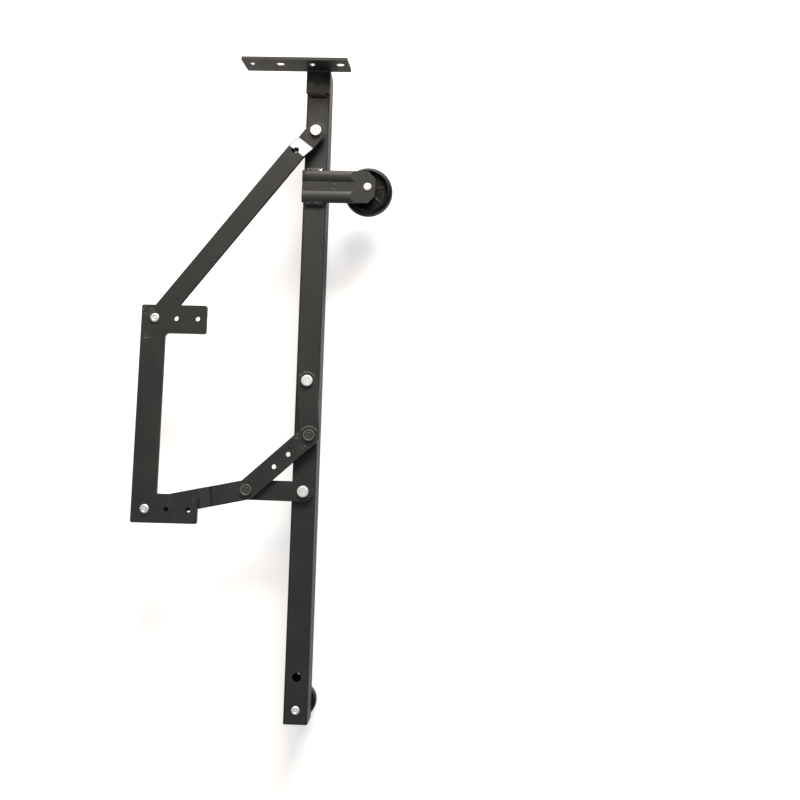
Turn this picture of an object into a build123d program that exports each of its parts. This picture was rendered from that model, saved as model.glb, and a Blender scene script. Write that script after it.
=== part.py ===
from build123d import *
import os
from math import atan2, cos, degrees, hypot, radians, sin, tan

# Sofa bed hinge, left-hand unit, lying flat. Millimetres.
# X runs across the rail, Y along it towards the top bracket, Z up through the stack of links.
# Origin: the rail's centre line, on the top bracket's outer face, at the height of its holes.

# Rail tube
TUBE_WIDTH = 24.0
TUBE_DEPTH = 30.0
TUBE_WALL = 1.5
TUBE_CORNER = 2.5
RAIL_LENGTH = 667.0
RAIL_HOLE_R = 4.5
RAIL_HOLE_Y = -622.0

# Top bracket, one bent sheet: an upright plate, and a tab welded to the rail
SHEET = 3.0
BRACKET_LENGTH = 109.0
BRACKET_BELOW = 14.0
BRACKET_ABOVE = 10.0
BRACKET_INNER_END = 34.0
BRACKET_SLANT = 2.5
BRACKET_CORNER = 1.5
BRACKET_HOLE_R = 3.0
BRACKET_SLOT_LENGTH = 9.5
BRACKET_HOLE_PITCH = 29.0
BRACKET_HOLE_GAP = 33.0
TAB_WIDTH = 25.0
TAB_LENGTH = 27.5
BEND_R = 2.5

# Pivots in the plan, at rest
UPPER_PIVOT = (0.0, -71.0)
GUIDE_PIVOT = (0.0, -330.0)
SHORT_PIVOT = (0.0, -441.0)
LEVER_TOP = (4.5, -385.0)
LEVER_MIDDLE = (-56.0, -440.6)
SEAT_TOP = (-153.0, -272.0)
SEAT_BOTTOM = (-153.0, -461.5)

# Flat bar links. Bend lines are distances from the pivot that the step starts from.
BAR = 3.5
BAR_WIDTH = 20.0
LEVER_HOLE_R = 2.4
LEVER_HOLES = ((-15.7, -404.4), (-29.4, -417.1))
STEP_RISE = 6.0
STEP_BEND_R = 2.0
UPPER_STEP = (16.0, 30.5)
LEVER_STEP = (34.5, 45.5)

# Seat plate, cut like a C
SEAT_ARM = 65.5
SEAT_SPINE = 24.5
SEAT_BAND = 28.5
SEAT_EDGE = 13.5
SEAT_CORNER = 2.0
SEAT_TOP_FILLET = 4.0
SEAT_BOTTOM_FILLET = 1.0
SEAT_HOLE_R = 2.5
SEAT_HOLE_OFFSETS = (21.5, 43.0)

# Roller arm, a pressed plate welded across the rail
ARM_END = -13.0
ARM_TIP = 62.5
ARM_WIDTH = 33.5
ARM_Y = -127.5
ARM_CHAMFER = 7.5
RIDGE_WIDTH = 11.6
RIDGE_HEIGHT = 1.25
RIDGE_OFFSET = 10.7
RIDGE_FLANK = (0.9, 0.65)
RIDGE_END = 41.5
RIDGE_RUNOUT = 4.0

# Large roller
ROLLER_X = 54.6
ROLLER_R = 25.5
ROLLER_THICKNESS = 16.0
ROLLER_SHOULDER = 3.0
ROLLER_DROP = 5.5
DISH_R = 20.8
DISH_FLOOR_R = 18.0
DISH_DEPTH = 5.5
HUB_R = 8.5
RIBS = 6
RIB_WIDTH = 2.0
RIB_SINK = 3.0
RIB_TURN = 15.0

# Foot roller
FOOT_Y = -653.5
FOOT_R = 16.0
FOOT_THICKNESS = 14.0
FOOT_SHOULDER = 1.5
FOOT_HUB_R = 6.5
FOOT_DISH_R = 12.5
FOOT_DISH_DEPTH = 2.5

# Pins, rivets and washers
PIN_R = 4.0
RIVET_R = 3.0
HEAD_R = 5.75
HEAD = 2.5
HEAD_BEVEL = 0.6
DIMPLE_R = 4.2
DIMPLE = 0.3
DIMPLE_TAPER = 45.0
AXLE_HEAD_R = 7.5
SMALL_END_R = 4.2
SMALL_END = 1.2
RIVET_END_R = 4.6
RIVET_END = 1.6
WASHER = 0.5
WASHER_R = 8.0
FLANGE = 1.0
FIT = 0.05
GAP = 0.25
OPEN_CLEARANCE = 2.1
RECESS_R = 4.5
RECESS = 1.5

# Weld beads
BEAD_HEIGHT = 2.5
BEAD_REACH = 3.5
BRACKET_BEAD = 18.0
ARM_BEAD = 20.0
BEAD_CROWN = 0.62

# Heights of the stack above the rail's upper face
FACE = -BRACKET_BELOW
BACK = FACE - TUBE_DEPTH
LOW_BAR = FACE + WASHER + GAP
LOW_TOP = LOW_BAR + BAR
MID_BAR = LOW_TOP + GAP + WASHER
MID_TOP = MID_BAR + BAR
RAISED_BAR = MID_BAR + STEP_RISE
RAISED_TOP = RAISED_BAR + BAR
SEAT_Z = RAISED_TOP + WASHER + GAP
SEAT_FACE = SEAT_Z + BAR
ARM_FACE = FACE + SHEET
ROLLER_FACE = FACE - ROLLER_DROP
ROLLER_BACK = ROLLER_FACE - ROLLER_THICKNESS
FOOT_FACE = BACK - FLANGE - GAP
FOOT_BACK = FOOT_FACE - FOOT_THICKNESS

ROLLER_CENTRE = (ROLLER_X, ARM_Y)
FOOT_CENTRE = (0.0, FOOT_Y)

os.makedirs("parts", exist_ok=True)


def save(part, name):
    """Label a finished piece and write its STEP file."""
    part.label = name
    export_step(part, f"parts/{name}.step")


def span(a, b):
    """Length, direction in degrees and midpoint of the line from a to b in the plan."""
    dx = b[0] - a[0]
    dy = b[1] - a[1]
    return hypot(dx, dy), degrees(atan2(dy, dx)), ((a[0] + b[0]) / 2, (a[1] + b[1]) / 2)


def bar_outline(a, b):
    """Draw a flat bar's round-ended outline from a to b in the current sketch."""
    length, direction, middle = span(a, b)
    with Locations(middle):
        SlotCenterToCenter(length, BAR_WIDTH, rotation=direction)


def side_plane(a, b):
    """Upright plane through a and b: local x runs from a to b, local y is height."""
    direction = radians(span(a, b)[1])
    along = (cos(direction), sin(direction), 0)
    across = (sin(direction), -cos(direction), 0)
    return Plane(origin=(a[0], a[1], 0), x_dir=along, z_dir=across)


def stepped_side(bends, back, reach):
    """Draw the side of a bar that steps up from the middle level between two bend lines."""
    start, end = bends
    mitre = BAR * tan(atan2(STEP_RISE, end - start) / 2)
    Polygon(
        (-back, MID_BAR),
        (start + mitre, MID_BAR),
        (end + mitre, RAISED_BAR),
        (reach, RAISED_BAR),
        (reach, RAISED_TOP),
        (end, RAISED_TOP),
        (start, MID_TOP),
        (-back, MID_TOP),
        align=None,
    )
    fillet(vertices().filter_by(lambda corner: -back < corner.X < reach), STEP_BEND_R)


def bore(centre, radius):
    """Drill an upright round hole right through the current part."""
    with Locations((centre[0], centre[1], 0)):
        Hole(radius)


def turned(centre, steps, dimple=False):
    """A turned piece on an upright axis, from steps of (radius, low, high), with a bevelled top."""
    with BuildPart() as piece:
        for radius, low, high in steps:
            with BuildSketch(Plane.XY.offset(low)):
                with Locations(centre):
                    Circle(radius)
            extrude(amount=high - low)
        rim = piece.faces().sort_by(Axis.Z)[-1].edges()
        top_radius, low, top = steps[-1]
        chamfer(rim, min(HEAD_BEVEL, (top - low) / 2))
        if dimple:
            with BuildSketch(Plane.XY.offset(top)):
                with Locations(centre):
                    Circle(DIMPLE_R)
            extrude(amount=-DIMPLE, taper=DIMPLE_TAPER, mode=Mode.SUBTRACT)
    return piece.part


def washer(centre, radius, hole, low, high):
    """A flat ring on an upright axis."""
    with BuildPart() as ring:
        with BuildSketch(Plane.XY.offset(low)):
            with Locations(centre):
                Circle(radius)
                Circle(hole, mode=Mode.SUBTRACT)
        extrude(amount=high - low)
    return ring.part


def weld(edges, length):
    """Weld beads across the rail's face, in corners given as (y, side that the bead lies on)."""
    with BuildPart() as beads:
        for edge, side in edges:
            foot = (edge + side * BEAD_REACH, FACE)
            head = (edge, FACE + BEAD_HEIGHT)
            crown = (edge + side * BEAD_REACH * BEAD_CROWN, FACE + BEAD_HEIGHT * BEAD_CROWN)
            with BuildSketch(Plane.YZ.offset(-length / 2)):
                with BuildLine():
                    Polyline(foot, (edge, FACE), head)
                    ThreePointArc(head, crown, foot)
                make_face()
            extrude(amount=length)
    return beads.part


def low_link(pivot, end, clearance):
    """A short flat link that lies next to the rail, under the lever."""
    with BuildPart() as link:
        with BuildSketch(Plane.XY.offset(LOW_BAR)):
            bar_outline(pivot, end)
        extrude(amount=BAR)
        bore(pivot, PIN_R + FIT)
        bore(end, RIVET_R + clearance)
    return link.part


# Rail tube, open at both ends
with BuildPart() as rail_tube:
    with BuildSketch(Plane.XZ):
        with Locations((0, FACE - TUBE_DEPTH / 2)):
            RectangleRounded(TUBE_WIDTH, TUBE_DEPTH, TUBE_CORNER)
            RectangleRounded(
                TUBE_WIDTH - 2 * TUBE_WALL,
                TUBE_DEPTH - 2 * TUBE_WALL,
                TUBE_CORNER - TUBE_WALL,
                mode=Mode.SUBTRACT,
            )
    extrude(amount=RAIL_LENGTH)
    for pivot in (UPPER_PIVOT, GUIDE_PIVOT, SHORT_PIVOT, FOOT_CENTRE):
        bore(pivot, PIN_R + FIT)
    bore((0, RAIL_HOLE_Y), RAIL_HOLE_R)
save(rail_tube.part, "rail_tube")

# Top bracket: its upright plate has slanted ends and a row of round holes and slots
bracket_outer_end = BRACKET_INNER_END - BRACKET_LENGTH
bracket_middle = BRACKET_INNER_END - (BRACKET_LENGTH + BRACKET_SLANT) / 2
with BuildPart() as top_bracket:
    with BuildSketch(Plane.XZ):
        with BuildLine():
            Polyline(
                (bracket_outer_end, FACE),
                (BRACKET_INNER_END, FACE),
                (BRACKET_INNER_END - BRACKET_SLANT, BRACKET_ABOVE),
                (bracket_outer_end - BRACKET_SLANT, BRACKET_ABOVE),
                close=True,
            )
        make_face()
        fillet(vertices(), BRACKET_CORNER)
        for side in (-1, 1):
            pair = bracket_middle + side * (BRACKET_HOLE_GAP + BRACKET_HOLE_PITCH) / 2
            with Locations((pair - BRACKET_HOLE_PITCH / 2, 0)):
                Circle(BRACKET_HOLE_R, mode=Mode.SUBTRACT)
            with Locations((pair + BRACKET_HOLE_PITCH / 2, 0)):
                SlotOverall(BRACKET_SLOT_LENGTH, 2 * BRACKET_HOLE_R, mode=Mode.SUBTRACT)
    extrude(amount=SHEET)
    with BuildSketch(Plane.YZ.offset(-TAB_WIDTH / 2)):
        with BuildLine():
            Polyline(
                (0, FACE + BEND_R + SHEET),
                (-SHEET, FACE + BEND_R + SHEET),
                (-SHEET, FACE + SHEET),
                (-TAB_LENGTH, FACE + SHEET),
                (-TAB_LENGTH, FACE),
                (0, FACE),
                close=True,
            )
        make_face()
        inner = vertices().filter_by(lambda corner: corner.X > -TAB_LENGTH / 2 and corner.X < 0)
        fillet(inner.sort_by(Axis.Y)[0], BEND_R)
    extrude(amount=TAB_WIDTH)
save(top_bracket.part, "top_bracket")

save(weld([(-TAB_LENGTH, -1)], BRACKET_BEAD), "top_bracket_weld")

# Roller arm: a plate with a chamfered tip and two pressed ridges that run out before the axle.
# Each ridge has a short steep flank towards the top bracket and falls off gently on its other side.
with BuildPart() as roller_arm:
    with BuildSketch(Plane.XY.offset(FACE)):
        with Locations(((ARM_END + ARM_TIP) / 2, ARM_Y)):
            Rectangle(ARM_TIP - ARM_END, ARM_WIDTH)
        chamfer(vertices().group_by(Axis.X)[-1], ARM_CHAMFER)
        with Locations(ROLLER_CENTRE):
            Circle(PIN_R + FIT, mode=Mode.SUBTRACT)
    extrude(amount=SHEET)
    for side in (-1, 1):
        ridge_y = ARM_Y + side * RIDGE_OFFSET
        for base, end, mode in (
            (ARM_FACE, RIDGE_END, Mode.ADD),
            (FACE, RIDGE_END - RIDGE_RUNOUT, Mode.SUBTRACT),
        ):
            left = (ridge_y - RIDGE_WIDTH / 2, base)
            right = (ridge_y + RIDGE_WIDTH / 2, base)
            flank = (right[0] - RIDGE_FLANK[0], base + RIDGE_FLANK[1])
            crown = ((flank[0] + ridge_y) / 2, base + RIDGE_HEIGHT)
            with BuildSketch(Plane.YZ.offset(ARM_END)):
                with BuildLine():
                    Polyline(left, right, flank)
                    ThreePointArc(flank, crown, left)
                make_face()
            extrude(amount=end - ARM_END, mode=mode)
    with BuildSketch(Plane.XZ.offset(-ARM_Y)):
        with BuildLine():
            Polyline(
                (RIDGE_END - 2 * RIDGE_RUNOUT, ARM_FACE + 2 * RIDGE_HEIGHT),
                (RIDGE_END, ARM_FACE),
                (RIDGE_END, ARM_FACE + 2 * RIDGE_HEIGHT),
                close=True,
            )
        make_face()
    extrude(amount=ARM_WIDTH, both=True, mode=Mode.SUBTRACT)
save(roller_arm.part, "roller_arm")

arm_edges = [(ARM_Y + ARM_WIDTH / 2, 1), (ARM_Y - ARM_WIDTH / 2, -1)]
save(weld(arm_edges, ARM_BEAD), "roller_arm_weld")

# Large roller: a rounded tread, a dish on both sides and ribs on the side under the arm
with BuildPart() as roller_wheel:
    with BuildSketch(Plane.XZ.offset(-ARM_Y)):
        with BuildLine():
            Polyline(
                (ROLLER_X + PIN_R + FIT, ROLLER_BACK),
                (ROLLER_X + HUB_R, ROLLER_BACK),
                (ROLLER_X + HUB_R, ROLLER_BACK + DISH_DEPTH),
                (ROLLER_X + DISH_FLOOR_R, ROLLER_BACK + DISH_DEPTH),
                (ROLLER_X + DISH_R, ROLLER_BACK),
                (ROLLER_X + ROLLER_R, ROLLER_BACK),
                (ROLLER_X + ROLLER_R, ROLLER_FACE),
                (ROLLER_X + DISH_R, ROLLER_FACE),
                (ROLLER_X + DISH_FLOOR_R, ROLLER_FACE - DISH_DEPTH),
                (ROLLER_X + HUB_R, ROLLER_FACE - DISH_DEPTH),
                (ROLLER_X + HUB_R, ROLLER_FACE),
                (ROLLER_X + PIN_R + FIT, ROLLER_FACE),
                close=True,
            )
        make_face()
        fillet(vertices().group_by(Axis.X)[-1], ROLLER_SHOULDER)
    revolve(axis=Axis((ROLLER_X, ARM_Y, 0), (0, 0, 1)))
    with BuildSketch(Plane.XY.offset(ROLLER_FACE - DISH_DEPTH)):
        with Locations(ROLLER_CENTRE):
            with PolarLocations((HUB_R + DISH_R) / 2, RIBS, start_angle=RIB_TURN):
                Rectangle(DISH_R - HUB_R + RIB_WIDTH, RIB_WIDTH)
    extrude(amount=DISH_DEPTH - RIB_SINK)
save(roller_wheel.part, "roller_wheel")

save(
    turned(
        ROLLER_CENTRE,
        (
            (AXLE_HEAD_R, ROLLER_BACK - GAP - FLANGE - HEAD, ROLLER_BACK - GAP - FLANGE),
            (PIN_R, ROLLER_BACK - GAP - FLANGE, ARM_FACE),
            (SMALL_END_R, ARM_FACE, ARM_FACE + SMALL_END),
        ),
    ),
    "roller_axle",
)
save(washer(ROLLER_CENTRE, AXLE_HEAD_R, PIN_R + FIT, ROLLER_FACE + GAP, FACE), "roller_spacer")
save(
    washer(ROLLER_CENTRE, WASHER_R, PIN_R + FIT, ROLLER_BACK - GAP - FLANGE, ROLLER_BACK - GAP),
    "roller_washer",
)

# Foot roller under the rail's lower end
with BuildPart() as foot_roller:
    with BuildSketch(Plane.XZ.offset(-FOOT_Y)):
        with BuildLine():
            Polyline(
                (PIN_R + FIT, FOOT_BACK),
                (FOOT_HUB_R, FOOT_BACK),
                (FOOT_HUB_R, FOOT_BACK + FOOT_DISH_DEPTH),
                (FOOT_DISH_R, FOOT_BACK + FOOT_DISH_DEPTH),
                (FOOT_DISH_R, FOOT_BACK),
                (FOOT_R, FOOT_BACK),
                (FOOT_R, FOOT_FACE),
                (PIN_R + FIT, FOOT_FACE),
                close=True,
            )
        make_face()
        fillet(vertices().group_by(Axis.X)[-1], FOOT_SHOULDER)
    revolve(axis=Axis((0, FOOT_Y, 0), (0, 0, 1)))
save(foot_roller.part, "foot_roller")

save(
    turned(
        FOOT_CENTRE,
        (
            (AXLE_HEAD_R, FOOT_BACK - GAP - FLANGE - HEAD, FOOT_BACK - GAP - FLANGE),
            (PIN_R, FOOT_BACK - GAP - FLANGE, FACE),
            (SMALL_END_R, FACE, FACE + SMALL_END),
        ),
    ),
    "foot_axle",
)
save(washer(FOOT_CENTRE, AXLE_HEAD_R, PIN_R + FIT, BACK - FLANGE, BACK), "foot_inner_washer")
save(
    washer(FOOT_CENTRE, WASHER_R, PIN_R + FIT, FOOT_BACK - GAP - FLANGE, FOOT_BACK - GAP),
    "foot_outer_washer",
)

# Upper link: stands off the rail at its pivot, then steps up to pass under the seat plate
with BuildPart() as upper_link:
    with BuildSketch(Plane.XY.offset(MID_BAR)):
        bar_outline(UPPER_PIVOT, SEAT_TOP)
    extrude(amount=RAISED_TOP - MID_BAR)
    with BuildSketch(side_plane(UPPER_PIVOT, SEAT_TOP)):
        stepped_side(UPPER_STEP, BAR_WIDTH, span(UPPER_PIVOT, SEAT_TOP)[0] + BAR_WIDTH)
    extrude(amount=BAR_WIDTH, both=True, mode=Mode.INTERSECT)
    bore(UPPER_PIVOT, PIN_R + FIT)
    bore(SEAT_TOP, RIVET_R + FIT)
save(upper_link.part, "upper_link")

save(
    turned(
        UPPER_PIVOT,
        (
            (HEAD_R, BACK - HEAD, BACK),
            (PIN_R, BACK, MID_TOP + GAP),
            (HEAD_R, MID_TOP + GAP, MID_TOP + GAP + HEAD),
        ),
        dimple=True,
    ),
    "upper_link_pin",
)
save(washer(UPPER_PIVOT, WASHER_R, PIN_R + FIT, FACE, MID_BAR - GAP), "upper_link_spacer")

# Lever: a dog-leg bar on top of the guide and short links, stepped up to the seat plate
lever_reach = span(LEVER_MIDDLE, SEAT_BOTTOM)[0] + BAR_WIDTH
with BuildPart() as lever:
    with BuildSketch(Plane.XY.offset(MID_BAR)):
        bar_outline(LEVER_TOP, LEVER_MIDDLE)
        bar_outline(LEVER_MIDDLE, SEAT_BOTTOM)
    extrude(amount=RAISED_TOP - MID_BAR)
    with BuildSketch(side_plane(LEVER_MIDDLE, SEAT_BOTTOM)):
        stepped_side(LEVER_STEP, lever_reach, lever_reach)
    extrude(amount=lever_reach, both=True, mode=Mode.INTERSECT)
    bore(LEVER_TOP, RIVET_R + FIT)
    bore(LEVER_MIDDLE, RIVET_R + FIT)
    bore(SEAT_BOTTOM, RIVET_R + OPEN_CLEARANCE)
    for hole in LEVER_HOLES:
        bore(hole, LEVER_HOLE_R)
save(lever.part, "lever")

# The lever's two rivets. The top one is closed over in the guide link's recess.
save(
    turned(
        LEVER_TOP,
        (
            (SMALL_END_R, LOW_BAR, LOW_BAR + RECESS - GAP),
            (RIVET_R, LOW_BAR + RECESS - GAP, MID_TOP),
            (HEAD_R, MID_TOP, MID_TOP + HEAD),
        ),
        dimple=True,
    ),
    "lever_top_rivet",
)
save(
    turned(
        LEVER_MIDDLE,
        ((RIVET_R, LOW_BAR, MID_TOP), (HEAD_R, MID_TOP, MID_TOP + HEAD)),
        dimple=True,
    ),
    "lever_middle_rivet",
)
for pivot, name in ((LEVER_TOP, "lever_top_washer"), (LEVER_MIDDLE, "lever_middle_washer")):
    save(washer(pivot, WASHER_R, RIVET_R + FIT, LOW_TOP + GAP, MID_BAR), name)

# Guide link, recessed underneath for the closed end of the lever's top rivet
with BuildPart() as guide_link:
    add(low_link(GUIDE_PIVOT, LEVER_TOP, FIT))
    with Locations((LEVER_TOP[0], LEVER_TOP[1], LOW_BAR + RECESS)):
        Hole(RECESS_R, depth=BAR)
save(guide_link.part, "guide_link")
save(low_link(SHORT_PIVOT, LEVER_MIDDLE, OPEN_CLEARANCE), "short_link")

# The pins that hold those two links to the rail, with a washer under each link
for pivot, name in ((GUIDE_PIVOT, "guide_link"), (SHORT_PIVOT, "short_link")):
    pin = turned(
        pivot,
        (
            (HEAD_R, BACK - HEAD, BACK),
            (PIN_R, BACK, LOW_TOP + GAP),
            (HEAD_R, LOW_TOP + GAP, LOW_TOP + GAP + HEAD),
        ),
    )
    save(pin, f"{name}_pin")
    save(washer(pivot, WASHER_R, PIN_R + FIT, FACE, FACE + WASHER), f"{name}_washer")

# Seat plate
seat_left = SEAT_TOP[0] - SEAT_EDGE
seat_right = seat_left + SEAT_ARM
seat_top = SEAT_TOP[1] + SEAT_EDGE
seat_bottom = SEAT_BOTTOM[1] - SEAT_EDGE
seat_bay = seat_left + SEAT_SPINE
with BuildPart() as seat_plate:
    with BuildSketch(Plane.XY.offset(SEAT_Z)):
        with BuildLine():
            Polyline(
                (seat_left, seat_top),
                (seat_right, seat_top),
                (seat_right, seat_top - SEAT_BAND),
                (seat_bay, seat_top - SEAT_BAND),
                (seat_bay, seat_bottom + SEAT_BAND),
                (seat_right, seat_bottom + SEAT_BAND),
                (seat_right, seat_bottom),
                (seat_left, seat_bottom),
                close=True,
            )
        make_face()
        fillet(vertices().group_by(Axis.X)[1].sort_by(Axis.Y)[-1], SEAT_TOP_FILLET)
        fillet(vertices().group_by(Axis.X)[1].sort_by(Axis.Y)[0], SEAT_BOTTOM_FILLET)
        fillet(vertices().group_by(Axis.X)[0] + vertices().group_by(Axis.X)[-1], SEAT_CORNER)
        for pivot in (SEAT_TOP, SEAT_BOTTOM):
            for offset_x in SEAT_HOLE_OFFSETS:
                with Locations((pivot[0] + offset_x, pivot[1])):
                    Circle(SEAT_HOLE_R, mode=Mode.SUBTRACT)
    extrude(amount=BAR)
    for pivot in (SEAT_TOP, SEAT_BOTTOM):
        bore(pivot, RIVET_R + FIT)
save(seat_plate.part, "seat_plate")

# The upper link carries the top rivet, and the seat plate carries the bottom one
save(
    turned(
        SEAT_TOP,
        (
            (HEAD_R, RAISED_BAR - HEAD, RAISED_BAR),
            (RIVET_R, RAISED_BAR, SEAT_FACE + GAP),
            (RIVET_END_R, SEAT_FACE + GAP, SEAT_FACE + GAP + RIVET_END),
        ),
    ),
    "seat_top_rivet",
)
save(washer(SEAT_TOP, WASHER_R, RIVET_R + FIT, RAISED_TOP, RAISED_TOP + WASHER), "seat_top_washer")
save(
    turned(
        SEAT_BOTTOM,
        (
            (AXLE_HEAD_R, RAISED_BAR - GAP - HEAD, RAISED_BAR - GAP),
            (RIVET_R, RAISED_BAR - GAP, SEAT_FACE),
            (RIVET_END_R, SEAT_FACE, SEAT_FACE + RIVET_END),
        ),
    ),
    "seat_bottom_rivet",
)
save(
    washer(SEAT_BOTTOM, WASHER_R, RIVET_R + FIT, RAISED_TOP + GAP, SEAT_Z),
    "seat_bottom_washer",
)
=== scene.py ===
"""Sofa bed hinge, left-hand unit, lying flat: its finished pieces, the studio round it and the camera.

Metres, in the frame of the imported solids. X runs across the rail, Y along it towards the top bracket,
and Z up through the stack of links.
"""
from __future__ import annotations

import logging
import math
from dataclasses import dataclass
from enum import Enum
from typing import Sequence, Union

import bmesh
import bpy
from mathutils import Matrix, Vector, noise


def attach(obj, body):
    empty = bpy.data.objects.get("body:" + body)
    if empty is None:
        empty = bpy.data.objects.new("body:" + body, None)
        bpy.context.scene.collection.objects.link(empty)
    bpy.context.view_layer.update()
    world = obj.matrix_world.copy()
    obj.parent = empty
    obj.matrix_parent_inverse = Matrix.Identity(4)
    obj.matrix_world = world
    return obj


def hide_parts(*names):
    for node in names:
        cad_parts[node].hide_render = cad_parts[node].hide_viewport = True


MM = 0.001

# Pivots and centres of the hinge, in millimetres
UPPER_PIVOT = (0.0, -71.0)
ROLLER_CENTRE = (54.6, -127.5)
GUIDE_PIVOT = (0.0, -330.0)
SHORT_PIVOT = (0.0, -441.0)
FOOT_CENTRE = (0.0, -653.5)
LEVER_TOP = (4.5, -385.0)
LEVER_MIDDLE = (-56.0, -440.6)
SEAT_TOP = (-153.0, -272.0)
SEAT_BOTTOM = (-153.0, -461.5)

# Heights of faces in the stack, in millimetres
SEAT_FACE = 4.75
LEVER_FACE = -5.5
GUIDE_FACE = -9.75
ARM_FACE = -11.0
RAIL_FACE = -14.0
RAIL_BACK = -44.0

# Radii and heights of the heads, shanks and closed ends of the pins, axles and rivets, in millimetres
PIN_SHANK = 4.0
AXLE_END = 4.2
AXLE_HEAD = 7.5
RIVET_SHANK = 3.0
RIVET_END = 4.6
ROUND_HEAD = 5.75
HEAD_HEIGHT = 2.5
AXLE_END_HEIGHT = 1.2
RIVET_END_HEIGHT = 1.6

# Steps round the axis for a turned piece with a wide and with a narrow head
FINE_SIDES = 64
PLAIN_SIDES = 48

# Material slots of a painted solid and of a rivet with a worn rim
EDGE_SLOT = 1
MARK_SLOT = 2
RIM_SLOT = 1

# A Mix node's two inputs and its output, for colours and for numbers
MIX_SOCKETS = {"RGBA": (6, 7, 2), "FLOAT": (2, 3, 0)}

Triple = tuple[float, float, float]
Colour = Triple
Point = tuple[float, float]
Feed = Union[float, tuple, bpy.types.NodeSocket]
Box = tuple[Triple, Triple]

log = logging.getLogger("sofa_bed_hinge")
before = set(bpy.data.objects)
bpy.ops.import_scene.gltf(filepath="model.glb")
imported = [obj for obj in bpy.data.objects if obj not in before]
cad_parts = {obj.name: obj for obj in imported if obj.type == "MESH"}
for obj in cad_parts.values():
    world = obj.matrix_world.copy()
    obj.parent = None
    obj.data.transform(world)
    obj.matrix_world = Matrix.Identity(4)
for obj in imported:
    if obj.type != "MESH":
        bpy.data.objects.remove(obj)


class Body(Enum):
    """The groups of the hinge that finished pieces ride on."""

    RAIL = "rail"
    UPPER_LINK = "upper_link"
    SEAT_PLATE = "seat_plate"
    LEVER = "lever"
    ROLLER = "roller_wheel"
    FOOT_ROLLER = "foot_roller"


class Slot(Enum):
    """The record's material slots."""

    PAINT = "black_paint"
    ZINC = "zinc_plated_steel"
    NYLON = "nylon_washer"
    PLASTIC = "black_plastic"


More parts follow.
